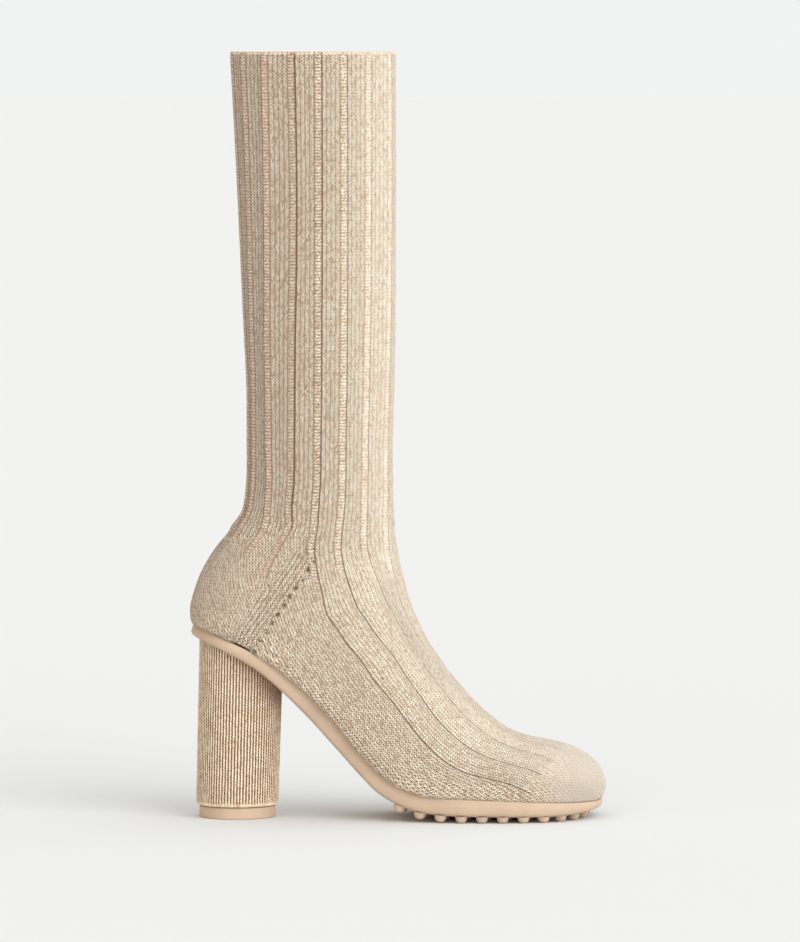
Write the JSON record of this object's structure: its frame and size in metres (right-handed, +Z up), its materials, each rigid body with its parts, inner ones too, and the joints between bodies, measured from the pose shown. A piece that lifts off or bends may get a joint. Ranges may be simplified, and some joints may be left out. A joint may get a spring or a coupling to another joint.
{
  "type": "sock boot",
  "caption": "Tall knitted sock boot with a ribbed shaft, round covered block heel and a thin rubber sole with pebble studs; right shoe, empty.",
  "frame": {"origin": "centre of the round ground face of the heel's top piece", "axes": "+Z up the shaft, +X toward the toe, +Y toward the big-toe side"},
  "size_m": [0.2123, 0.0814, 0.3896],
  "materials": {
    "knit": "matte",
    "heel_knit": "matte",
    "rubber": "matte",
    "board": "matte"
  },
  "bodies": {
    "root": {"upper": "knit", "outsole": "rubber", "insole": "board", "heel": "heel_knit", "top_piece": "rubber"}
  },
  "joints": []
}
